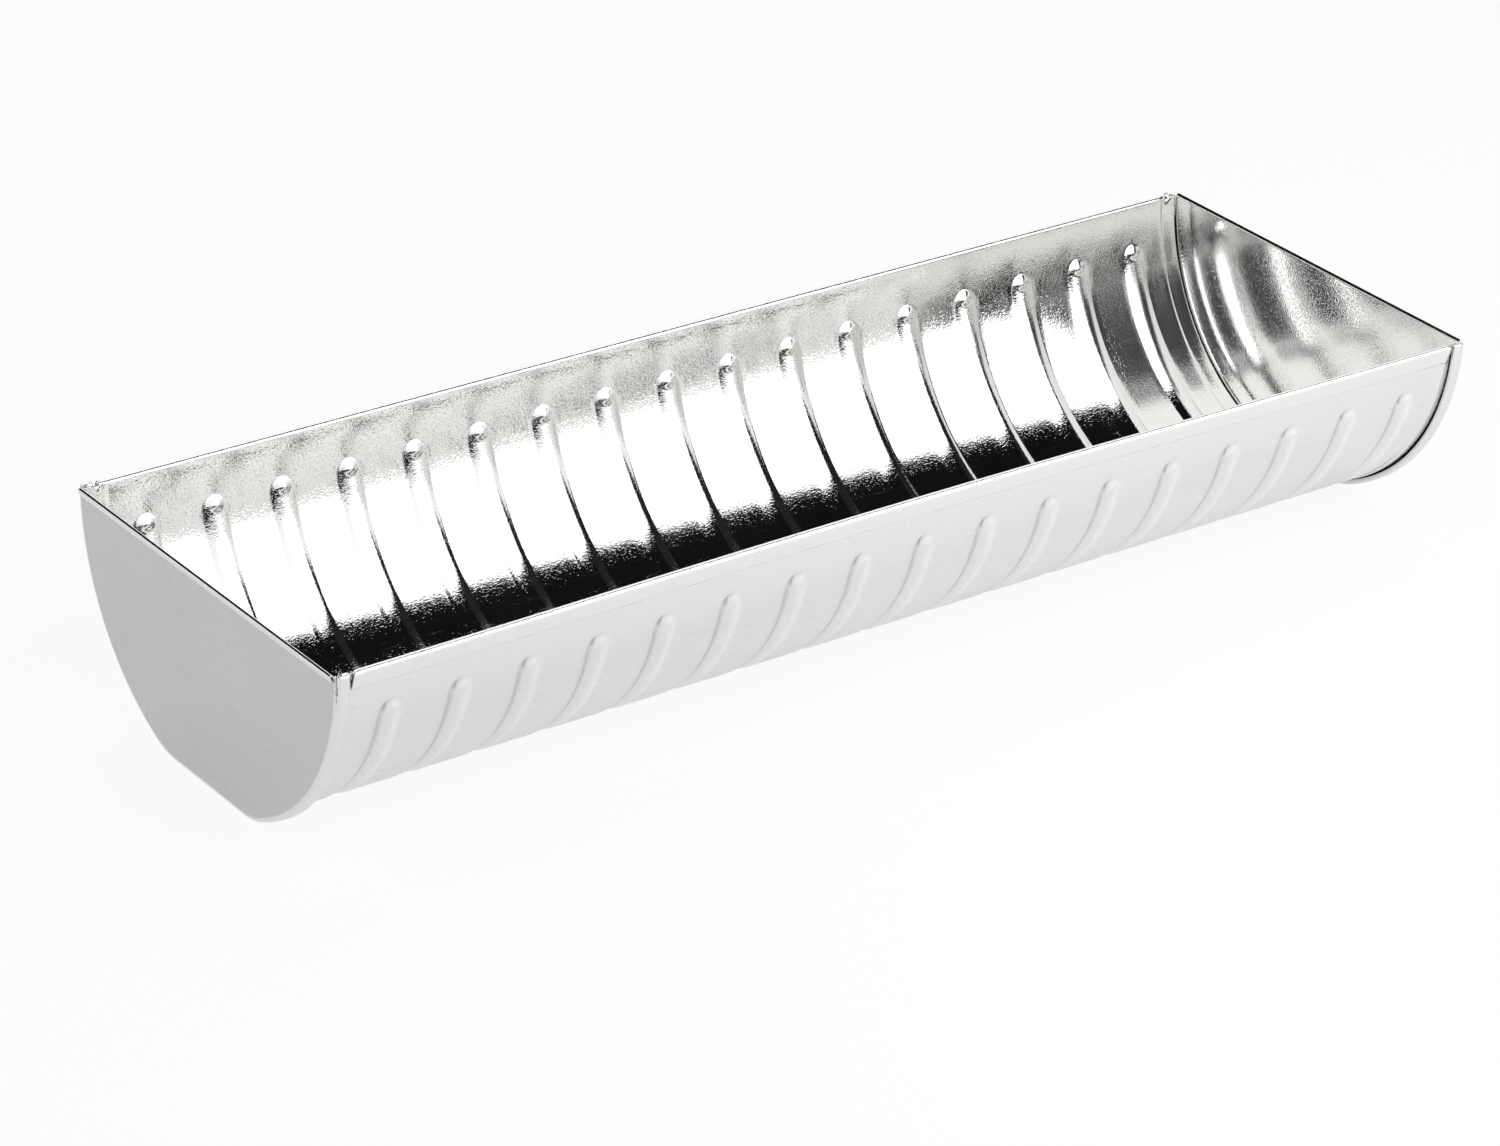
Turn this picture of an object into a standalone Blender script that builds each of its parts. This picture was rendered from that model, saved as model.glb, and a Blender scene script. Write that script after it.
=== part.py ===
"""Half-round ribbed baking tin, folded together from three pieces of tinplate.

Metres, +Z up. X runs along the tin, Y across it, and the tin stands on Z = 0.
The trough is one flat blank, bent to a half round with a flat foot, pressed inward
with ribs, hemmed along both rims and hooked outward at both ends. Each end plate is
a stamped half round whose turned band closes over the trough's hook as a lock seam.
"""
import math
from collections import namedtuple

import bmesh
import bpy
from mathutils import Vector

# Overall sizes
LENGTH = 0.350
TROUGH_RADIUS = 0.0588
FOOT_WIDTH = 0.0325
FOOT_FILLET = 0.018
SHEET = 0.0003

# Lock seams at the two ends
SEAM_GAP = 0.0003
SEAM_WIDTH = 0.0037
PLATE_CORNER = 0.0015
JOGGLE_STEP = 0.00025
JOGGLE_START = 0.0064
JOGGLE_END = 0.0054

# Hems of the long rims
RIM_ROLL = 0.0019
RIM_HEM_DEPTH = 0.0052
RIM_HEM_GAP = 0.00025
RIM_HEM_STOP = 0.001
FRONT_SPRING = 0.0024

# Hems of the end plates
PLATE_ROLL = 0.0013
PLATE_HEM_DEPTH = 0.0020
PLATE_HEM_GAP = 0.00025
PLATE_HEM_NOTCH = 0.0005

# Ribs pressed into the trough
RIB_PITCH = 0.01978
RIB_WIDTH = 0.008
RIB_HEIGHT = 0.0009
RIB_TOP = 0.0108
RIB_MARGIN = 0.005

# Facets
ARC_STEPS = 6
FILLET_STEPS = 2
RIB_END_STEPS = 3
RIB_STATIONS = (0.2, 0.55, 1.0)
ROLL_STEPS = 5
HOOK_STEPS = 4
CORNER_STEPS = 3

# Sheet mid surface of the trough, measured from the middle of the mouth
HALF = SHEET / 2
MID_RADIUS = TROUGH_RADIUS - HALF
MID_FILLET = FOOT_FILLET - HALF
FOOT_HALF = FOOT_WIDTH / 2
FILLET_DROP = math.sqrt((MID_RADIUS - MID_FILLET) ** 2 - FOOT_HALF ** 2)
ARC_ANGLE = math.atan2(FILLET_DROP, FOOT_HALF)
FILLET_RUN = MID_FILLET * (math.pi / 2 - ARC_ANGLE)
RIM_RUN = FOOT_HALF + FILLET_RUN + MID_RADIUS * ARC_ANGLE

# Layers of a lock seam, as distances of their mid surfaces outward from the trough's
LAYER = SHEET + SEAM_GAP
WALL_LAYER = JOGGLE_STEP
LIP_LAYER = WALL_LAYER + LAYER
HOOK_LAYER = LIP_LAYER + LAYER
BAND_LAYER = HOOK_LAYER + LAYER
RIM_HEIGHT = FILLET_DROP + MID_FILLET + BAND_LAYER + HALF

# Distances inward from an end plate's outer face
HOOK_BEND = SHEET + SEAM_GAP + LAYER + HALF
BAND_BEND = SEAM_WIDTH - LAYER - HALF

Column = namedtuple("Column", "x offset in_seam")
Row = namedtuple("Row", "run outward up")


def section(run):
    """Y, Z and outward normal of the trough's mid surface, run along it from the foot's middle."""
    side = math.copysign(1.0, run)
    along = abs(run)
    if along <= FOOT_HALF:
        y, drop, angle = along, FILLET_DROP + MID_FILLET, math.pi / 2
    elif along <= FOOT_HALF + FILLET_RUN:
        angle = math.pi / 2 - (along - FOOT_HALF) / MID_FILLET
        y = FOOT_HALF + MID_FILLET * math.cos(angle)
        drop = FILLET_DROP + MID_FILLET * math.sin(angle)
    else:
        angle = (RIM_RUN - along) / MID_RADIUS
        y = MID_RADIUS * math.cos(angle)
        drop = MID_RADIUS * math.sin(angle)
    return side * y, RIM_HEIGHT - drop, side * math.cos(angle), -math.sin(angle)


def folded_edge(diameter, depth, landing):
    """Mid line of a teardrop hem, as steps outward and up from where its roll begins."""
    roll = (diameter - SHEET) / 2
    leg_drop = depth - diameter / 2
    reach = math.hypot(roll - landing, leg_drop)
    slant = math.asin(roll / reach) + math.atan2(roll - landing, leg_drop)
    points = []
    for step in range(1, ROLL_STEPS + 1):
        angle = math.pi - (math.pi + slant) * step / ROLL_STEPS
        points.append((roll + roll * math.cos(angle), roll * math.sin(angle)))
    points.append((landing, -leg_drop))
    return points


def u_bend(x, offset, direction):
    """Stations of a half turn from one seam layer out to the layer two above it."""
    points = []
    for step in range(HOOK_STEPS + 1):
        angle = -math.pi / 2 + math.pi * step / HOOK_STEPS
        bulge = direction * LAYER * math.cos(angle)
        points.append((x + bulge, offset + LAYER + LAYER * math.sin(angle)))
    return points


def wall_runs():
    """Runs along the back half of the section, from the foot's edge to the hem's roll."""
    spine = RIM_RUN - RIB_TOP - RIB_WIDTH / 2
    arc_start = FOOT_HALF + FILLET_RUN
    runs = [FOOT_HALF + FILLET_RUN * step / FILLET_STEPS for step in range(FILLET_STEPS)]
    runs += [arc_start + (spine - arc_start) * step / ARC_STEPS for step in range(ARC_STEPS)]
    runs += [spine + RIB_WIDTH / 2 * step / RIB_END_STEPS for step in range(RIB_END_STEPS + 1)]
    runs.append(RIM_RUN - RIM_ROLL / 2)
    return runs


def rib_centres():
    clear = LENGTH / 2 - JOGGLE_START - RIB_MARGIN - RIB_WIDTH / 2
    each_side = int(clear / RIB_PITCH)
    return [RIB_PITCH * step for step in range(-each_side, each_side + 1)]


def rib_height(x, run):
    """How far the wall is pressed inward: a bead of cosine section with round ends."""
    spine = RIM_RUN - RIB_TOP - RIB_WIDTH / 2
    beyond = max(0.0, abs(run) - spine)
    nearest = round(x / RIB_PITCH) * RIB_PITCH
    if abs(nearest) > max(rib_centres()) + RIB_PITCH / 2:
        return 0.0
    distance = math.hypot(x - nearest, beyond)
    if distance >= RIB_WIDTH / 2:
        return 0.0
    return RIB_HEIGHT * math.cos(math.pi * distance / RIB_WIDTH) ** 2


def front_spring(x, z):
    """How far the front wall has sprung inward, most at the rim's middle and none at the seams."""
    span = LENGTH / 2 - SEAM_WIDTH - RIM_HEM_STOP
    if abs(x) >= span:
        return 0.0
    return FRONT_SPRING * math.cos(math.pi / 2 * x / span) ** 1.5 * (z / RIM_HEIGHT) ** 2


def flat_blank(columns, rows):
    """A flat grid of sheet, with its vertices returned as blank[row][column]."""
    sheet = bmesh.new()
    wide = len(columns) - 1
    deep = len(rows) - 1
    bmesh.ops.create_grid(sheet, x_segments=wide, y_segments=deep, size=0.5)
    blank = [[None] * len(columns) for _ in rows]
    for vertex in sheet.verts:
        column = round((vertex.co.x + 0.5) * wide)
        row = round((vertex.co.y + 0.5) * deep)
        blank[row][column] = vertex
    return sheet, blank


def trough_columns():
    """Stations along the tin, from the left hook's free edge to the right one's."""
    end = LENGTH / 2
    half = [Column(end - JOGGLE_START, 0.0, False)]
    half.append(Column(end - JOGGLE_END, JOGGLE_STEP, False))
    half.append(Column(end - SEAM_WIDTH - RIM_HEM_STOP, JOGGLE_STEP, False))
    half.append(Column(end - SEAM_WIDTH, JOGGLE_STEP, True))
    for x, offset in u_bend(end - HOOK_BEND, WALL_LAYER, 1.0):
        half.append(Column(x, offset, True))
    half.append(Column(end - BAND_BEND, HOOK_LAYER, True))
    ribs = []
    for centre in rib_centres():
        stations = [-share for share in reversed(RIB_STATIONS)] + list(RIB_STATIONS)
        ribs += [Column(centre + share * RIB_WIDTH / 2, 0.0, False) for share in stations]
    mirrored = [Column(-column.x, column.offset, column.in_seam) for column in reversed(half)]
    return mirrored + ribs + half


def trough_rows():
    """Stations across the sheet, from the front hem's free edge to the back one's."""
    runs = wall_runs()
    start = runs[-1]
    level = RIM_ROLL / 2
    wall_inset = MID_RADIUS * math.cos(level / MID_RADIUS)
    wall_inset -= math.sqrt(MID_RADIUS ** 2 - RIM_HEM_DEPTH ** 2)
    landing = SHEET + RIM_HEM_GAP - wall_inset
    hem = [Row(start, *step) for step in folded_edge(RIM_ROLL, RIM_HEM_DEPTH, landing)]
    back = [Row(run, 0.0, 0.0) for run in runs] + hem
    front = [Row(-row.run, row.outward, row.up) for row in reversed(back)]
    return front + back


def formed(column, row):
    """Where one point of the trough's blank lies once it is bent, pressed and folded."""
    y, z, normal_y, normal_z = section(row.run)
    offset = column.offset - rib_height(column.x, row.run)
    outward = 0.0 if column.in_seam else math.copysign(row.outward, row.run)
    y += normal_y * offset + outward
    z += normal_z * offset + row.up
    if row.run < 0:
        y += front_spring(column.x, z)
    return Vector((column.x, y, z))


def notch_corners(sheet, blank, columns, rows):
    """Cut the hems away at the seams, but for the strip that still stands straight."""
    hem_rows = len(folded_edge(RIM_ROLL, RIM_HEM_DEPTH, RIM_HEM_GAP))
    last = len(rows) - 1
    cut = []
    for row in range(last):
        from_edge = min(row, last - 1 - row)
        if from_edge >= hem_rows:
            continue
        for column in range(len(columns) - 1):
            pair = columns[column].in_seam, columns[column + 1].in_seam
            straight = from_edge == hem_rows - 1
            if pair[0] != pair[1] or (all(pair) and not straight):
                corner, opposite = blank[row][column], blank[row + 1][column + 1]
                cut += [face for face in corner.link_faces if opposite in face.verts]
    bmesh.ops.delete(sheet, geom=cut, context="FACES")


def merge_plain_hems(sheet, blank, columns, rows):
    """Run the hem's facets from rib to rib in front, and from end to end behind."""
    hem_rows = len(folded_edge(RIM_ROLL, RIM_HEM_DEPTH, RIM_HEM_GAP))
    last = len(rows) - 1
    edge_of_rib = RIB_WIDTH / 2
    seam_side = LENGTH / 2 - JOGGLE_START
    merged = set()
    for index, column in enumerate(columns):
        if abs(column.x) >= seam_side:
            continue
        nearest = round(column.x / RIB_PITCH) * RIB_PITCH
        outer = math.isclose(abs(column.x - nearest), edge_of_rib, rel_tol=1e-6)
        kept_in_front = outer and (nearest == 0.0 or abs(column.x) > abs(nearest))
        for row in range(last):
            in_front = row < hem_rows + 1
            behind = row >= last - hem_rows - 1
            if behind or (in_front and not kept_in_front):
                merged.add(sheet.edges.get((blank[row][index], blank[row + 1][index])))
    bmesh.ops.dissolve_edges(sheet, edges=list(merged), use_verts=True)


def solid_sheet(name, sheet, colour, roughness, collection):
    """Give a formed sheet its thickness, material and place in the collection."""
    mesh = bpy.data.meshes.new(name)
    sheet.to_mesh(mesh)
    sheet.free()
    mesh.shade_smooth()
    mesh.set_sharp_from_angle(angle=math.radians(50))
    mesh.materials.append(tinplate(name, colour, roughness))
    piece = bpy.data.objects.new(name, mesh)
    collection.objects.link(piece)
    thickness = piece.modifiers.new("sheet thickness", "SOLIDIFY")
    thickness.thickness = SHEET
    thickness.offset = 0.0
    thickness.use_even_offset = True
    thickness.use_quality_normals = True
    return piece


def tinplate(name, colour, roughness):
    material = bpy.data.materials.new(name + " tinplate")
    material.use_nodes = True
    shader = material.node_tree.nodes["Principled BSDF"]
    shader.inputs["Base Color"].default_value = (*colour, 1.0)
    shader.inputs["Metallic"].default_value = 1.0
    shader.inputs["Roughness"].default_value = roughness
    return material


def make_trough(collection):
    columns = trough_columns()
    rows = trough_rows()
    sheet, blank = flat_blank(columns, rows)
    for row, line in zip(rows, blank):
        for column, vertex in zip(columns, line):
            vertex.co = formed(column, row)
    merge_plain_hems(sheet, blank, columns, rows)
    notch_corners(sheet, blank, columns, rows)
    return solid_sheet("trough", sheet, (0.84, 0.84, 0.83), 0.22, collection)


def plate_profile():
    """Mid line of an end plate's edge: corner, band, half turn and lip, as (inward, offset)."""
    bend = PLATE_CORNER - HALF
    centre_offset = BAND_LAYER + HALF - PLATE_CORNER
    points = []
    for step in range(CORNER_STEPS + 1):
        angle = math.pi / 2 * step / CORNER_STEPS
        inward = PLATE_CORNER - bend * math.cos(angle)
        points.append((inward, centre_offset + bend * math.sin(angle)))
    points += reversed(u_bend(BAND_BEND, LIP_LAYER, 1.0))
    points.append((HOOK_BEND, LIP_LAYER))
    return points


def make_end_plate(name, x, turn, collection):
    """An end plate in its own frame: outer face at X = 0, the tin on its +X side."""
    profile = plate_profile()
    runs = wall_runs() + [RIM_RUN]
    runs = [-run for run in reversed(runs)] + runs
    sheet, blank = flat_blank(profile, runs)
    for run, line in zip(runs, blank):
        y, z, normal_y, normal_z = section(run)
        for (inward, offset), vertex in zip(profile, line):
            vertex.co = (inward, y + normal_y * offset, z + normal_z * offset)
    face_edge = [line[0] for line in blank[1:-1]]
    front, back = face_edge[0].co, face_edge[-1].co
    hem_ends = (front.y + PLATE_HEM_NOTCH, back.y - PLATE_HEM_NOTCH)
    level = RIM_HEIGHT - PLATE_ROLL / 2
    hem_line = [(0.0, front.z - level), (0.0, 0.0)]
    hem_line += folded_edge(PLATE_ROLL, PLATE_HEM_DEPTH, SHEET + PLATE_HEM_GAP)
    strip = []
    for outward, up in hem_line:
        strip.append([sheet.verts.new((HALF - outward, y, level + up)) for y in hem_ends])
    for lower, upper in zip(strip, strip[1:]):
        sheet.faces.new((lower[0], upper[0], upper[1], lower[1]))
    sheet.faces.new(face_edge + [strip[0][1], strip[0][0]])
    bmesh.ops.recalc_face_normals(sheet, faces=sheet.faces)
    plate = solid_sheet(name, sheet, (0.78, 0.78, 0.78), 0.30, collection)
    plate.location.x = x
    plate.rotation_euler.z = turn
    return plate


for old in list(bpy.data.objects):
    bpy.data.objects.remove(old)
tin = bpy.data.collections.new("half-round baking tin")
bpy.context.scene.collection.children.link(tin)
standing_point = bpy.data.objects.new("standing point", None)
tin.objects.link(standing_point)
pieces = [
    make_trough(tin),
    make_end_plate("end_plate_left", -LENGTH / 2, 0.0, tin),
    make_end_plate("end_plate_right", LENGTH / 2, math.pi, tin),
]
for piece in pieces:
    piece.parent = standing_point
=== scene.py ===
"""Looks of the half-round ribbed baking tin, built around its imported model.

The tin is three pieces of bright tinplate. The script makes them in the order in which a
tinsmith does: the ribbed trough, then the end plates that lock onto it. Metres, +Z up.
"""
import math
from collections import namedtuple

import bmesh
import bpy
from mathutils import Matrix, Vector, noise


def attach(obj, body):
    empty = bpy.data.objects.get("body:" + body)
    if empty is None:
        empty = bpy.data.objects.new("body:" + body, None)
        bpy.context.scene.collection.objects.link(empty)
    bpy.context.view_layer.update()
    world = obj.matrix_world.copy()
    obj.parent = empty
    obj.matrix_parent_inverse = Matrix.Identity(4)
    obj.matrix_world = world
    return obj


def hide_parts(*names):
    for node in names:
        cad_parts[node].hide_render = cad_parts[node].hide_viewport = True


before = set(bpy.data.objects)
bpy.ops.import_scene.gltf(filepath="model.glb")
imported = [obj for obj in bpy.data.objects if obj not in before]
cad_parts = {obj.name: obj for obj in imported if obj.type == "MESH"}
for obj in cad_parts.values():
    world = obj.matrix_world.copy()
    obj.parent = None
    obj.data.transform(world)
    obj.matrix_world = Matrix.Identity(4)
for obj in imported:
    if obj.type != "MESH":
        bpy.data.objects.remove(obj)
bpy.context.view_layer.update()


# The trough: one sheet of 0.3 mm tinplate, bent to a half round with a flat foot.
# Its ribs are pressed inward before it is bent, and both long rims are folded over.
# Each end is turned outward into a hook, which the end plate's band closes over.
LENGTH = 0.350
TROUGH_RADIUS = 0.0588
FOOT_WIDTH = 0.0325
FOOT_FILLET = 0.018
SHEET = 0.0003
HALF = SHEET / 2

SEAM_GAP = 0.0003
SEAM_WIDTH = 0.0037
JOGGLE_STEP = 0.00025
JOGGLE_START = 0.0064
JOGGLE_END = 0.0054

RIM_ROLL = 0.0019
RIM_HEM_DEPTH = 0.0052
RIM_HEM_GAP = 0.00025
RIM_HEM_STOP = 0.001
FRONT_SPRING = 0.0024
SPRING_EASE = 1.5

RIB_PITCH = 0.01978
RIBS_EACH_SIDE = 8
RIB_WIDTH = 0.0076
RIB_SHOULDER = 0.84
RIB_HEIGHT = 0.00075
RIB_TOP = 0.0108
RIB_FADE = 0.009
BALL_HEIGHT = 0.00055
BALL_RADIUS = 0.0027
BALL_DROP = 0.0136
PULL_HEIGHT = 0.00012
PULL_RADIUS = 0.0085
PULL_DROP = 0.0111

WAVE_LENGTH = 0.016
WAVE_HEIGHT = 0.00001
WAVE_SEED = 0.5

# Painted shade and highlight on the rib flanks: the slope is taken over this reach, and the right
# flank gets this share as painted highlight.
FLANK_SLOPE_REACH = RIB_WIDTH / 12
RIGHT_FLANK_HIGHLIGHT = 1 / 3

WALL_STEP = 0.0018
END_STEP = RIB_WIDTH / 6
RIB_STEPS = 20
PLAIN_STEPS = 8
RIB_END_STEPS = 18
ROLL_STEPS = 14
CUT_EDGE_SHARE = 0.06
HEM_ROWS = ROLL_STEPS + 2
STANDING_ROWS = 2
HOOK_STEPS = 10
JOGGLE_STEPS = 6

MID_RADIUS = TROUGH_RADIUS - HALF
MID_FILLET = FOOT_FILLET - HALF
FOOT_HALF = FOOT_WIDTH / 2
FILLET_DROP = math.sqrt((MID_RADIUS - MID_FILLET) ** 2 - FOOT_HALF ** 2)
ARC_ANGLE = math.atan2(FILLET_DROP, FOOT_HALF)
FILLET_RUN = MID_FILLET * (math.pi / 2 - ARC_ANGLE)
RIM_RUN = FOOT_HALF + FILLET_RUN + MID_RADIUS * ARC_ANGLE
RIB_SPINE = RIM_RUN - RIB_TOP - RIB_WIDTH / 2

LAYER = SHEET + SEAM_GAP
LIP_LAYER = JOGGLE_STEP + LAYER
HOOK_LAYER = LIP_LAYER + LAYER
BAND_LAYER = HOOK_LAYER + LAYER
RIM_HEIGHT = FILLET_DROP + MID_FILLET + BAND_LAYER + HALF
HOOK_BEND = SHEET + SEAM_GAP + LAYER + HALF
BAND_BEND = SEAM_WIDTH - LAYER - HALF

Column = namedtuple("Column", "x offset in_seam")
Row = namedtuple("Row", "run outward up")


def section(run):
    """Y, Z and outward normal of the trough's mid surface, run along it from the foot's middle."""
    side = math.copysign(1.0, run)
    along = abs(run)
    if along <= FOOT_HALF:
        y, drop, angle = along, FILLET_DROP + MID_FILLET, math.pi / 2
    elif along <= FOOT_HALF + FILLET_RUN:
        angle = math.pi / 2 - (along - FOOT_HALF) / MID_FILLET
        y = FOOT_HALF + MID_FILLET * math.cos(angle)
        drop = FILLET_DROP + MID_FILLET * math.sin(angle)
    else:
        angle = (RIM_RUN - along) / MID_RADIUS
        y = MID_RADIUS * math.cos(angle)
        drop = MID_RADIUS * math.sin(angle)
    return side * y, RIM_HEIGHT - drop, side * math.cos(angle), -math.sin(angle)


def folded_edge(diameter, depth, landing, flatness=1.0):
    """Mid line of a teardrop hem, as steps outward and up from where its roll begins.

    The roll's side next to the wall is a quarter circle at flatness 1 and a slope at 2. The
    last two points lie close together, so that the cut edge doesn't tilt the leg's shading.
    """
    roll = (diameter - SHEET) / 2
    leg_drop = depth - diameter / 2
    reach = math.hypot(roll - landing, leg_drop)
    slant = math.asin(roll / reach) + math.atan2(roll - landing, leg_drop)
    points = []
    for step in range(1, ROLL_STEPS + 1):
        angle = math.pi - (math.pi + slant) * step / ROLL_STEPS
        if angle > math.pi / 2:
            inward, rise = abs(math.cos(angle)) ** flatness, math.sin(angle) ** flatness
            points.append((roll - roll * inward, roll * rise))
        else:
            points.append((roll + roll * math.cos(angle), roll * math.sin(angle)))
    roll_end = points[-1]
    points.append((landing + (roll_end[0] - landing) * CUT_EDGE_SHARE,
                   -leg_drop + (roll_end[1] + leg_drop) * CUT_EDGE_SHARE))
    points.append((landing, -leg_drop))
    return points


def u_bend(x, offset):
    """Stations of a half turn from one seam layer out to the layer two above it."""
    points = []
    for step in range(HOOK_STEPS + 1):
        angle = -math.pi / 2 + math.pi * step / HOOK_STEPS
        points.append((x + LAYER * math.cos(angle), offset + LAYER + LAYER * math.sin(angle)))
    return points


def evenly(start, end, step):
    """Stations from start up to but not including end, about a step apart."""
    count = max(1, round((end - start) / step))
    return [start + (end - start) * index / count for index in range(count)]


def wall_runs():
    """Runs along the back half of the section, from the foot's middle to the hem's roll."""
    fine_start = RIB_SPINE - BALL_RADIUS
    fine_end = RIB_SPINE + RIB_WIDTH / 2
    runs = evenly(WALL_STEP / 2, FOOT_HALF, WALL_STEP)
    runs += evenly(FOOT_HALF, FOOT_HALF + FILLET_RUN, WALL_STEP)
    runs += evenly(FOOT_HALF + FILLET_RUN, fine_start, WALL_STEP)
    runs += evenly(fine_start, fine_end, (fine_end - fine_start) / RIB_END_STEPS)
    runs += evenly(fine_end, RIM_RUN - RIM_ROLL / 2, WALL_STEP)
    runs.append(RIM_RUN - RIM_ROLL / 2)
    return runs


def bead(distance):
    """Height of the rib's cross-section: round crest, steepest at its shoulder, tight foot."""
    share = min(1.0, distance / (RIB_WIDTH / 2))
    if share < RIB_SHOULDER:
        return RIB_HEIGHT * (1.0 - share ** 2 / RIB_SHOULDER)
    return RIB_HEIGHT * (1.0 - share) ** 2 / (1.0 - RIB_SHOULDER)


def dome(aside, beside, radius, height):
    """Height of a round swelling that fades out smoothly at its radius."""
    share = math.hypot(aside, beside) / radius
    return height * (1.0 - share ** 2) ** 2 if share < 1.0 else 0.0


def rib_height(x, run):
    """How far the wall is pressed inward: a round-ended bead with a ball at its top end.

    The ball draws the sheet above it in a little.
    """
    nearest = round(x / RIB_PITCH)
    if abs(nearest) > RIBS_EACH_SIDE:
        return 0.0
    aside = abs(x - nearest * RIB_PITCH)
    beyond = max(0.0, abs(run) - RIB_SPINE)
    to_end = (RIM_RUN - RIB_TOP - abs(run)) / RIB_FADE
    height = bead(math.hypot(aside, beyond)) * math.sin(math.pi / 2 * max(0.0, min(1.0, to_end)))
    height += dome(aside, RIM_RUN - BALL_DROP - abs(run), BALL_RADIUS, BALL_HEIGHT)
    height += dome(aside, RIM_RUN - PULL_DROP - abs(run), PULL_RADIUS, PULL_HEIGHT)
    return height


def painted_flank_shade(x, run):
    """Painted shade on a rib's left flank, up to 1, and painted highlight on its right, to -1/3."""
    rise = rib_height(x + FLANK_SLOPE_REACH, run) - rib_height(x - FLANK_SLOPE_REACH, run)
    steepness = rise / (2 * FLANK_SLOPE_REACH) / (4 * RIB_HEIGHT / RIB_WIDTH)
    return steepness * abs(steepness) * (1.0 if steepness > 0 else RIGHT_FLANK_HIGHLIGHT)


def waviness(x, run):
    """The sheet's slow waves, which die out towards the seams and the hems."""
    wave = noise.noise(Vector((x / WAVE_LENGTH, run / WAVE_LENGTH, WAVE_SEED)))
    from_seam = (LENGTH / 2 - JOGGLE_START - abs(x)) / WAVE_LENGTH
    from_hem = (RIM_RUN - RIM_HEM_DEPTH - abs(run)) / WAVE_LENGTH
    return WAVE_HEIGHT * wave * max(0.0, min(1.0, from_seam, from_hem))


def front_spring(x, z):
    """How far the front wall has sprung inward, most at the rim's middle and none at the seams."""
    span = LENGTH / 2 - SEAM_WIDTH - RIM_HEM_STOP
    if abs(x) >= span:
        return 0.0
    bow = math.cos(math.pi / 2 * x / span) ** SPRING_EASE
    return FRONT_SPRING * bow * (z / RIM_HEIGHT) ** 2


def trough_columns():
    """Stations along the tin, from the left hook's free edge to the right one's."""
    end = LENGTH / 2
    half = []
    first_plain = RIBS_EACH_SIDE * RIB_PITCH + RIB_WIDTH / 2
    for x in evenly(first_plain, end - JOGGLE_START, END_STEP)[1:]:
        half.append(Column(x, 0.0, False))
    joggle = JOGGLE_START - JOGGLE_END
    for step in range(JOGGLE_STEPS + 1):
        share = step / JOGGLE_STEPS
        ease = share * share * (3 - 2 * share)
        half.append(Column(end - JOGGLE_START + joggle * share, JOGGLE_STEP * ease, False))
    half.append(Column(end - SEAM_WIDTH - RIM_HEM_STOP, JOGGLE_STEP, False))
    half.append(Column(end - SEAM_WIDTH, JOGGLE_STEP, True))
    for x, offset in u_bend(end - HOOK_BEND, JOGGLE_STEP):
        half.append(Column(x, offset, True))
    half.append(Column(end - BAND_BEND, HOOK_LAYER, True))
    ribbed = []
    for rib in range(-RIBS_EACH_SIDE, RIBS_EACH_SIDE + 1):
        centre = rib * RIB_PITCH
        foot = centre + RIB_WIDTH / 2
        ribbed += evenly(centre - RIB_WIDTH / 2, foot, RIB_WIDTH / RIB_STEPS)
        if rib < RIBS_EACH_SIDE:
            gap = RIB_PITCH - RIB_WIDTH
            ribbed += evenly(foot, foot + gap, gap / PLAIN_STEPS)
    ribbed.append(first_plain)
    middle = [Column(x, 0.0, False) for x in ribbed]
    mirrored = [Column(-column.x, column.offset, column.in_seam) for column in reversed(half)]
    return mirrored + middle + half


def trough_rows():
    """Stations across the sheet, from the front hem's free edge to the back one's."""
    runs = wall_runs()
    wall_inset = MID_RADIUS * math.cos(RIM_ROLL / 2 / MID_RADIUS)
    wall_inset -= math.sqrt(MID_RADIUS ** 2 - RIM_HEM_DEPTH ** 2)
    landing = SHEET + RIM_HEM_GAP - wall_inset
    hem = [Row(runs[-1], *step) for step in folded_edge(RIM_ROLL, RIM_HEM_DEPTH, landing)]
    back = [Row(run, 0.0, 0.0) for run in runs] + hem
    front = [Row(-row.run, row.outward, row.up) for row in reversed(back)]
    return front + back


def formed(column, row):
    """Where one point of the trough's blank lies once it is bent, pressed and folded."""
    y, z, normal_y, normal_z = section(row.run)
    offset = column.offset - rib_height(column.x, row.run) + waviness(column.x, row.run)
    outward = 0.0 if column.in_seam else math.copysign(row.outward, row.run)
    y += normal_y * offset + outward
    z += normal_z * offset + row.up
    if row.run < 0:
        y += front_spring(column.x, z)
    return Vector((column.x, y, z))


def sheet_piece(name, sheet, finishes):
    """The formed sheet as a piece with thickness, without the points that no face uses.

    Each finish for a face of the sheet's inside is followed by the one for its outside.
    """
    loose = [vertex for vertex in sheet.verts if not vertex.link_faces]
    bmesh.ops.delete(sheet, geom=loose, context="VERTS")
    mesh = bpy.data.meshes.new(name)
    sheet.to_mesh(mesh)
    sheet.free()
    mesh.shade_smooth()
    for finish in finishes:
        mesh.materials.append(finish)
    piece = bpy.data.objects.new(name, mesh)
    bpy.context.scene.collection.objects.link(piece)
    thickness = piece.modifiers.new("sheet thickness", "SOLIDIFY")
    thickness.thickness = SHEET
    thickness.offset = 0.0
    thickness.use_even_offset = True
    thickness.use_quality_normals = True
    thickness.material_offset = 1
    return piece


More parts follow.
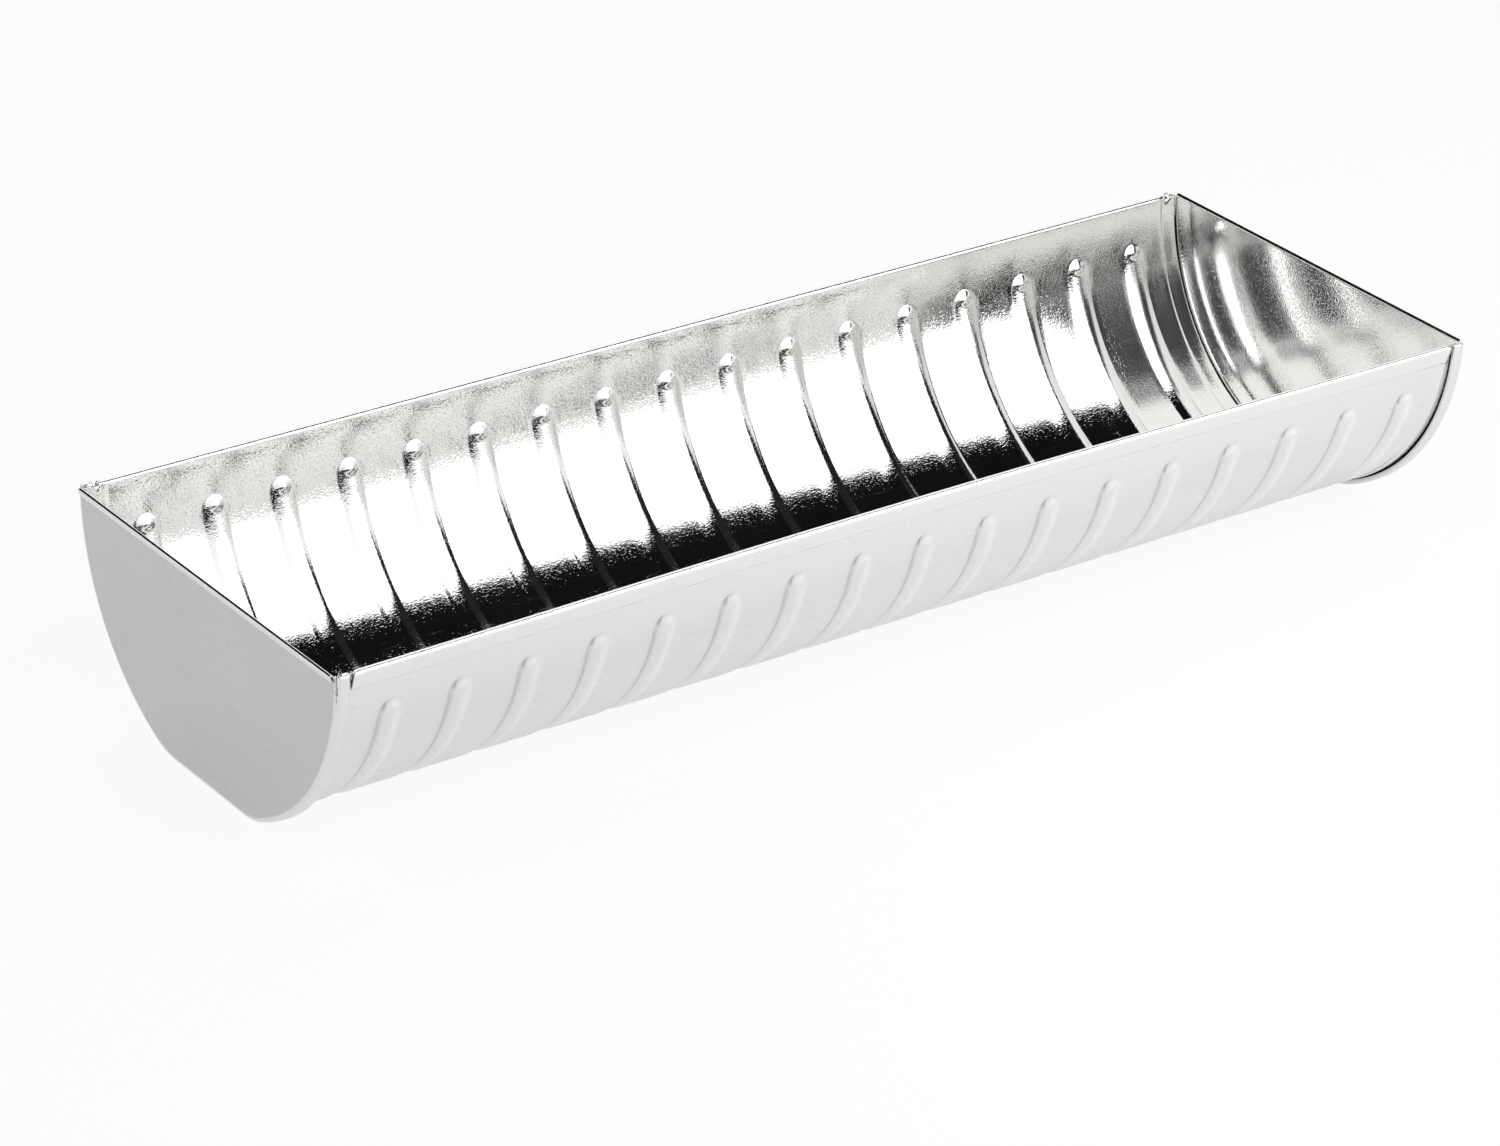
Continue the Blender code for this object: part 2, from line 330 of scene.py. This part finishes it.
def make_trough(finishes):
    """The trough, with its hems cut away at the seams but for a strip that still stands."""
    columns = trough_columns()
    rows = trough_rows()
    wide = len(columns) - 1
    deep = len(rows) - 1
    sheet = bmesh.new()
    # Each point keeps its rib-flank painted shade and highlight, which the outside's material
    # reads.
    flank_shade_values = sheet.verts.layers.float.new("painted_flank_shade")
    blank = []
    for row in rows:
        blank.append([sheet.verts.new(formed(column, row)) for column in columns])
        for vertex, column in zip(blank[-1], columns):
            vertex[flank_shade_values] = painted_flank_shade(column.x, row.run)
    for row in range(deep):
        from_edge = min(row, deep - 1 - row)
        for column in range(wide):
            here, beside = columns[column].in_seam, columns[column + 1].in_seam
            if from_edge < HEM_ROWS and here != beside:
                continue
            if from_edge < HEM_ROWS - STANDING_ROWS and here:
                continue
            lower, upper = blank[row], blank[row + 1]
            sheet.faces.new((lower[column], lower[column + 1], upper[column + 1], upper[column]))
    return sheet_piece("ribbed_trough", sheet, finishes)


GRAIN_DETAIL = 2.0
PIT_SCALE = 1.7
PIT_SPAN = (0.55, 0.8)
PIT_DEPTH = 0.45
CLOUD_SCALE = 45.0
CLOUD_DETAIL = 3.0
CLOUD_SPAN = (0.3, 0.7)
GLOSS_SPAN = (0.8, 1.25)
CLOUD_TINT = 0.96
SCUFF_TURN = (0.35, 0.5, 0.4)
SCUFF_SCALE = (90.0, 1400.0, 1400.0)
SCUFF_SPAN = (0.66, 0.76)
SCUFF_ROUGHNESS = 1.5
# How far painted shade darkens a rib's left flank and painted highlight lightens its right one.
FLANK_SHADE_STRENGTH = 0.5


def calculated(tree, operation, *values):
    """The result of a Math node, each input a number or another node's output."""
    step = tree.nodes.new("ShaderNodeMath")
    step.operation = operation
    for value, socket in zip(values, step.inputs):
        if isinstance(value, float):
            socket.default_value = value
        else:
            tree.links.new(value, socket)
    return step.outputs[0]


def mapped(tree, value, span, result=(0.0, 1.0)):
    """The value, with the two ends of its span mapped to the two numbers of the result."""
    ends = tree.nodes.new("ShaderNodeMapRange")
    for socket, number in zip(("From Min", "From Max", "To Min", "To Max"), (*span, *result)):
        ends.inputs[socket].default_value = number
    tree.links.new(value, ends.inputs["Value"])
    return ends.outputs["Result"]


def speckled(tree, place, scale, detail):
    """A noise texture's values at the places given."""
    texture = tree.nodes.new("ShaderNodeTexNoise")
    texture.inputs["Scale"].default_value = scale
    texture.inputs["Detail"].default_value = detail
    tree.links.new(place, texture.inputs["Vector"])
    return texture.outputs["Fac"]


def tinplate_grain():
    """Tinplate up close: rolled grain along X, soft changes of gloss, scuffs and painted rib-flank
    shade.
    """
    tree = bpy.data.node_groups.new("tinplate grain", "ShaderNodeTree")
    sockets = tree.interface
    size = sockets.new_socket("Grain Size", in_out="INPUT", socket_type="NodeSocketFloat")
    size.default_value = 0.0006
    stretch = sockets.new_socket("Stretch", in_out="INPUT", socket_type="NodeSocketFloat")
    stretch.default_value = 2.0
    for output in ("Height", "Cloud", "Scuff", "Painted Flank Shade"):
        sockets.new_socket(output, in_out="OUTPUT", socket_type="NodeSocketFloat")
    nodes, links = tree.nodes, tree.links
    inputs = nodes.new("NodeGroupInput")
    outputs = nodes.new("NodeGroupOutput")
    place = nodes.new("ShaderNodeTexCoord").outputs["Object"]

    frequency = calculated(tree, "DIVIDE", 1.0, inputs.outputs["Grain Size"])
    scale = nodes.new("ShaderNodeCombineXYZ")
    along = calculated(tree, "DIVIDE", frequency, inputs.outputs["Stretch"])
    links.new(along, scale.inputs["X"])
    links.new(frequency, scale.inputs["Y"])
    links.new(frequency, scale.inputs["Z"])
    stretched = nodes.new("ShaderNodeVectorMath")
    stretched.operation = "MULTIPLY"
    links.new(place, stretched.inputs[0])
    links.new(scale.outputs[0], stretched.inputs[1])
    grain = speckled(tree, stretched.outputs[0], 1.0, GRAIN_DETAIL)
    specks = speckled(tree, stretched.outputs[0], PIT_SCALE, 0.0)
    pits = mapped(tree, specks, PIT_SPAN, (0.0, PIT_DEPTH))
    links.new(calculated(tree, "SUBTRACT", grain, pits), outputs.inputs["Height"])

    cloud = speckled(tree, place, CLOUD_SCALE, CLOUD_DETAIL)
    links.new(cloud, outputs.inputs["Cloud"])

    slanted = nodes.new("ShaderNodeMapping")
    slanted.inputs["Rotation"].default_value = SCUFF_TURN
    slanted.inputs["Scale"].default_value = SCUFF_SCALE
    links.new(place, slanted.inputs["Vector"])
    lines = speckled(tree, slanted.outputs[0], 1.0, 1.0)
    links.new(mapped(tree, lines, SCUFF_SPAN), outputs.inputs["Scuff"])

    # The painted shade and highlight on the rib flanks, as a factor on the colour.
    flank_shade_values = nodes.new("ShaderNodeAttribute")
    flank_shade_values.attribute_name = "painted_flank_shade"
    flank_shade_scale = mapped(tree, flank_shade_values.outputs["Fac"], (-1.0, 1.0), (1.0 + FLANK_SHADE_STRENGTH, 1.0 - FLANK_SHADE_STRENGTH))
    links.new(flank_shade_scale, outputs.inputs["Painted Flank Shade"])
    return tree


def tinplate(name, grain, colour, roughness, grain_size, stretch, depth, paint_flank_shade=False):
    """Tinplate: the grain tilts its mirror, cloud and scuffs change its gloss, painted shade marks
    ribs.
    """
    material = bpy.data.materials.new(name)
    material.use_nodes = True
    tree = material.node_tree
    nodes, links = tree.nodes, tree.links
    shader = nodes["Principled BSDF"]
    shader.inputs["Metallic"].default_value = 1.0
    surface = nodes.new("ShaderNodeGroup")
    surface.node_tree = grain
    surface.inputs["Grain Size"].default_value = grain_size
    surface.inputs["Stretch"].default_value = stretch

    cloud = surface.outputs["Cloud"]
    gloss = mapped(tree, cloud, CLOUD_SPAN, [roughness * share for share in GLOSS_SPAN])
    scuffed = calculated(tree, "MULTIPLY_ADD", surface.outputs["Scuff"],
                         roughness * SCUFF_ROUGHNESS, gloss)
    links.new(scuffed, shader.inputs["Roughness"])

    tint = nodes.new("ShaderNodeMix")
    tint.data_type = "RGBA"
    tint.inputs["A"].default_value = (*[channel * CLOUD_TINT for channel in colour], 1.0)
    tint.inputs["B"].default_value = (*colour, 1.0)
    links.new(cloud, tint.inputs["Factor"])
    face_colour = tint.outputs["Result"]
    # Painted shade on the ribs' left flanks and painted highlight on their right ones.
    if paint_flank_shade:
        flank_shaded_colour = nodes.new("ShaderNodeVectorMath")
        flank_shaded_colour.operation = "SCALE"
        links.new(face_colour, flank_shaded_colour.inputs[0])
        links.new(surface.outputs["Painted Flank Shade"], flank_shaded_colour.inputs["Scale"])
        face_colour = flank_shaded_colour.outputs[0]
    links.new(face_colour, shader.inputs["Base Color"])

    bump = nodes.new("ShaderNodeBump")
    bump.inputs["Strength"].default_value = 1.0
    bump.inputs["Distance"].default_value = depth
    links.new(surface.outputs["Height"], bump.inputs["Height"])
    links.new(bump.outputs["Normal"], shader.inputs["Normal"])
    return material


GRAIN_DEPTH = 0.00002
grain = tinplate_grain()
bright = tinplate("bright tinplate", grain, colour=(0.84, 0.84, 0.83), roughness=0.065,
                  grain_size=0.0006, stretch=1.5, depth=GRAIN_DEPTH)
# The trough's outside: satin, with painted shade and highlight on its rib flanks.
satin = tinplate("satin tinplate with painted flank shade", grain, colour=(0.80, 0.80, 0.80), roughness=0.2,
                 grain_size=0.0009, stretch=1.2, depth=GRAIN_DEPTH, paint_flank_shade=True)
trough = make_trough((bright, satin))
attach(trough, "root")
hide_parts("trough")


# The end plates: two stampings of the same tinplate. The outsides of their flat faces are rougher,
# and painted darker as shade. The straight top edge is folded outward as a small hem, and the round
# edge is turned over as a band that closes round the trough's hook.
PLATE_CORNER = 0.0015
PLATE_ROLL = 0.00127
PLATE_HEM_DEPTH = 0.0020
PLATE_HEM_GAP = 0.00025
PLATE_HEM_FLATNESS = 1.9
PLATE_HEM_NOTCH = 0.0005
PLATE_SLIT_DEPTH = 0.0065
SLIT_TIP_COLUMN = 3
SLIT_SPREAD = 3
FACE_MARGIN = 0.0003
FACE_FINISH = 2
CORNER_STEPS = 10


def plate_profile():
    """Mid line of an end plate's edge: corner, band, half turn and lip, as (inward, offset)."""
    bend = PLATE_CORNER - HALF
    centre_offset = BAND_LAYER + HALF - PLATE_CORNER
    points = []
    for step in range(CORNER_STEPS + 1):
        angle = math.pi / 2 * step / CORNER_STEPS
        inward = PLATE_CORNER - bend * math.cos(angle)
        points.append((inward, centre_offset + bend * math.sin(angle)))
    points += reversed(u_bend(BAND_BEND, LIP_LAYER))
    points.append((HOOK_BEND, LIP_LAYER))
    return points


def slit_reach(run):
    """How many columns the band's slit reaches to each side of its tip column, most at the rim."""
    into_slit = 1 + (abs(run) - RIM_RUN) / PLATE_SLIT_DEPTH
    return math.ceil(SLIT_SPREAD * into_slit)


def make_end_plate(name, x, inward_side, finishes):
    """One end plate, with its outer face at x and the tin on its inward side."""
    profile = plate_profile()
    runs = wall_runs() + [RIM_RUN]
    runs = [-run for run in reversed(runs)] + runs
    sheet = bmesh.new()

    def point(inward, y, z):
        return sheet.verts.new((x + inward_side * inward, y, z))

    blank = []
    for run in runs:
        y, z, normal_y, normal_z = section(run)
        blank.append([point(inward, y + normal_y * offset, z + normal_z * offset)
                      for inward, offset in profile])
    for row in range(len(runs) - 1):
        lower, upper = blank[row], blank[row + 1]
        slit = slit_reach(max(abs(runs[row]), abs(runs[row + 1])))
        for column in range(len(profile) - 1):
            if abs(column - SLIT_TIP_COLUMN) < slit:
                continue
            sheet.faces.new((lower[column], lower[column + 1], upper[column + 1], upper[column]))

    face_edge = [line[0] for line in blank[1:-1]]
    front, back = face_edge[0].co, face_edge[-1].co
    hem_ends = (front.y + PLATE_HEM_NOTCH, back.y - PLATE_HEM_NOTCH)
    hem_stations = (hem_ends[0], hem_ends[0] + FACE_MARGIN, hem_ends[1] - FACE_MARGIN, hem_ends[1])
    level = RIM_HEIGHT - PLATE_ROLL / 2
    hem_line = [(0.0, front.z - level), (0.0, 0.0)]
    landing = SHEET + PLATE_HEM_GAP
    hem_line += folded_edge(PLATE_ROLL, PLATE_HEM_DEPTH, landing, PLATE_HEM_FLATNESS)
    strip = [[point(HALF - outward, y, level + up) for y in hem_stations]
             for outward, up in hem_line]
    for lower, upper in zip(strip, strip[1:]):
        for station in range(len(hem_stations) - 1):
            sheet.faces.new((lower[station], upper[station],
                             upper[station + 1], lower[station + 1]))

    face = sheet.faces.new(face_edge + strip[0][::-1])
    bmesh.ops.recalc_face_normals(sheet, faces=sheet.faces)
    ring = bmesh.ops.inset_individual(sheet, faces=[face], thickness=FACE_MARGIN)["faces"]
    for pressed in [face, *ring]:
        pressed.material_index = FACE_FINISH
    return sheet_piece(name, sheet, finishes)


# The outer side of the plates' flat faces: rougher, and painted darker than the trough as painted
# shade.
dull_and_painted_shade = tinplate("rough tinplate with painted shade", grain, colour=(0.62, 0.62, 0.62), roughness=0.3,
                grain_size=0.0004, stretch=1.0, depth=GRAIN_DEPTH)
for side, inward_side in (("left", 1.0), ("right", -1.0)):
    outer_face = -inward_side * LENGTH / 2
    plate = make_end_plate("lock_seamed_end_plate_" + side, outer_face, inward_side,
                           (bright, satin, bright, dull_and_painted_shade))
    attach(plate, "root")
    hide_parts("end_plate_" + side)


# The studio: a pale floor, a bright room and one soft box close to the tin. The tin is a
# mirror, so it shows the room: white walls, a dark ceiling panel and the dark openings round it.
FLOOR_SIZE = 12.0
FLOOR_COLOUR = (0.9, 0.9, 0.9, 1.0)
FLOOR_ROUGHNESS = 0.9
FLOOR_SEEN_WHITE = 0.9
FLOOR_MIRRORED_WHITE = 0.5
WHITE = (1.0, 1.0, 1.0, 1.0)

WALL_LIGHT = 1.0
WALL_RISE = 0.33
CEILING_LIGHT = 0.006
PANEL_LENGTH = 0.65
PANEL_DEPTH = 0.25
PANEL_SHIFT = (-0.2, 0.14)
PANEL_TURN = math.radians(10.8)
PANEL_EDGE = (0.95, 1.05)
DOOR_FRONT = (math.radians(-68.0), math.radians(-78.0))
DOOR_BACK = (math.radians(17.0), math.radians(23.0))
DOOR_SILL = (0.33, 0.24)
DOOR_LIGHT = 0.015
SLOT_LEFT = (math.radians(-150.0), math.radians(-156.0))
SLOT_RIGHT = (math.radians(-127.0), math.radians(-121.0))
SLOT_SILL = (0.10, 0.05)
SLOT_LIGHT = 0.06
BACK_OPENING = {"middle": (-0.184, 0.864, 0.470), "inner_angle": 26.0, "outer_angle": 31.0,
                "light_inside": 0.0}
LEFT_OPENING = {"middle": (-0.560, -0.240, 0.793), "inner_angle": 1.0, "outer_angle": 6.5,
                "light_inside": 0.15}

LAMP_PLACE = (0.182, -0.351, 0.321)
LAMP_LEAN = 40.0
LAMP_HEADING = 30.0
LAMP_TWIST = -28.0
LAMP_SIZE = (0.60, 0.55)
LAMP_POWER = 1.8

CAMERA_PLACE = (-0.76859, -1.02753, 0.65945)
CAMERA_TURN = (63.171, -1.495, -35.576)
LENS = 132.98
SENSOR_WIDTH = 36.0


def make_floor():
    """A pale floor that takes the tin's shadow and looks nearly white to the camera."""
    bpy.ops.mesh.primitive_plane_add(size=FLOOR_SIZE)
    floor = bpy.context.object
    floor.name = "studio_floor"
    material = bpy.data.materials.new("pale floor")
    material.use_nodes = True
    tree = material.node_tree
    nodes, links = tree.nodes, tree.links
    shader = nodes["Principled BSDF"]
    shader.inputs["Base Color"].default_value = FLOOR_COLOUR
    shader.inputs["Roughness"].default_value = FLOOR_ROUGHNESS
    glow = nodes.new("ShaderNodeEmission")
    glow.inputs["Color"].default_value = WHITE
    path = nodes.new("ShaderNodeLightPath").outputs
    mirrored = calculated(tree, "MAXIMUM", path["Is Glossy Ray"], path["Is Transmission Ray"])
    mirrored_share = calculated(tree, "MULTIPLY", mirrored, FLOOR_MIRRORED_WHITE)
    share = calculated(tree, "MULTIPLY_ADD", path["Is Camera Ray"], FLOOR_SEEN_WHITE,
                       mirrored_share)
    blend = nodes.new("ShaderNodeMixShader")
    links.new(share, blend.inputs["Fac"])
    links.new(shader.outputs["BSDF"], blend.inputs[1])
    links.new(glow.outputs["Emission"], blend.inputs[2])
    links.new(blend.outputs["Shader"], nodes["Material Output"].inputs["Surface"])
    floor.data.materials.append(material)


def make_room():
    """White walls, a dark panel overhead, and dark openings right, left, behind and in front."""
    world = bpy.data.worlds.new("studio room")
    bpy.context.scene.world = world
    world.use_nodes = True
    tree = world.node_tree
    nodes, links = tree.nodes, tree.links
    direction = nodes.new("ShaderNodeTexCoord").outputs["Generated"]

    def brightening(value, dark, bright):
        """0 at the value dark and 1 at the value bright, with a soft change between."""
        edge = mapped(tree, value, (dark, bright))
        edge.node.interpolation_type = "SMOOTHSTEP"
        return edge

    def outside_opening(middle, inner_angle, outer_angle, light_inside):
        """1, but for a round dim opening in the direction of its middle."""
        nearness = nodes.new("ShaderNodeVectorMath")
        nearness.operation = "DOT_PRODUCT"
        nearness.inputs[1].default_value = middle
        links.new(direction, nearness.inputs[0])
        edges = [math.cos(math.radians(angle)) for angle in (inner_angle, outer_angle)]
        beyond = brightening(nearness.outputs["Value"], *edges)
        return calculated(tree, "MAXIMUM", beyond, light_inside)

    def from_middle(along, up, shift, reach):
        """How far a direction passes the panel's middle, 1 at its edge when divided by up."""
        shifted = calculated(tree, "ADD", along, calculated(tree, "MULTIPLY", up, shift))
        return calculated(tree, "DIVIDE", calculated(tree, "ABSOLUTE", shifted), reach)

    parts = nodes.new("ShaderNodeSeparateXYZ")
    links.new(direction, parts.inputs[0])
    along, across, up = parts.outputs
    turned = nodes.new("ShaderNodeVectorRotate")
    turned.rotation_type = "Z_AXIS"
    turned.inputs["Angle"].default_value = -PANEL_TURN
    links.new(direction, turned.inputs["Vector"])
    over = nodes.new("ShaderNodeSeparateXYZ")
    links.new(turned.outputs["Vector"], over.inputs[0])
    beside = from_middle(over.outputs["X"], up, PANEL_SHIFT[0], PANEL_LENGTH)
    before = from_middle(over.outputs["Y"], up, PANEL_SHIFT[1], PANEL_DEPTH)
    from_panel = calculated(tree, "DIVIDE", calculated(tree, "MAXIMUM", beside, before), up)
    below_panel = brightening(calculated(tree, "ABSOLUTE", from_panel), *PANEL_EDGE)

    heading = calculated(tree, "ARCTAN2", across, along)
    front_walls = brightening(heading, *DOOR_FRONT)
    back_walls = brightening(heading, *DOOR_BACK)
    beside_door = calculated(tree, "MAXIMUM", front_walls, back_walls)
    walls = calculated(tree, "MAXIMUM", beside_door, brightening(up, *DOOR_SILL))
    outside_door = calculated(tree, "MAXIMUM", walls, DOOR_LIGHT)
    beside_slot = calculated(tree, "MAXIMUM", brightening(heading, *SLOT_LEFT),
                             brightening(heading, *SLOT_RIGHT))
    below_slot = calculated(tree, "MAXIMUM", beside_slot, brightening(up, *SLOT_SILL))
    outside_slot = calculated(tree, "MAXIMUM", below_slot, SLOT_LIGHT)

    light = calculated(tree, "ADD", calculated(tree, "MULTIPLY", up, WALL_RISE), WALL_LIGHT)
    for share in (below_panel, outside_door, outside_slot,
                  outside_opening(**BACK_OPENING), outside_opening(**LEFT_OPENING)):
        light = calculated(tree, "MULTIPLY", light, share)
    background = nodes["Background"]
    background.inputs["Color"].default_value = WHITE
    links.new(calculated(tree, "MAXIMUM", light, CEILING_LIGHT), background.inputs["Strength"])


def make_lamp():
    """One wide soft box close to the tin, leaning over it from the front right."""
    light = bpy.data.lights.new("soft box", "AREA")
    light.shape = "RECTANGLE"
    light.size, light.size_y = LAMP_SIZE
    light.energy = LAMP_POWER
    lamp = bpy.data.objects.new("soft box", light)
    lamp.location = LAMP_PLACE
    twist = Matrix.Rotation(math.radians(LAMP_TWIST), 3, "Z")
    lean = Matrix.Rotation(math.radians(LAMP_LEAN), 3, "X")
    heading = Matrix.Rotation(math.radians(LAMP_HEADING), 3, "Z")
    lamp.rotation_euler = (heading @ lean @ twist).to_euler()
    bpy.context.scene.collection.objects.link(lamp)


def make_camera():
    """The camera, where the photograph's angle and perspective put it."""
    camera = bpy.data.cameras.new("camera")
    camera.lens = LENS
    camera.sensor_width = SENSOR_WIDTH
    viewer = bpy.data.objects.new("camera", camera)
    viewer.location = CAMERA_PLACE
    viewer.rotation_euler = [math.radians(angle) for angle in CAMERA_TURN]
    bpy.context.scene.collection.objects.link(viewer)
    bpy.context.scene.camera = viewer


make_floor()
make_room()
make_lamp()
make_camera()
bpy.context.scene.view_settings.view_transform = "Standard"
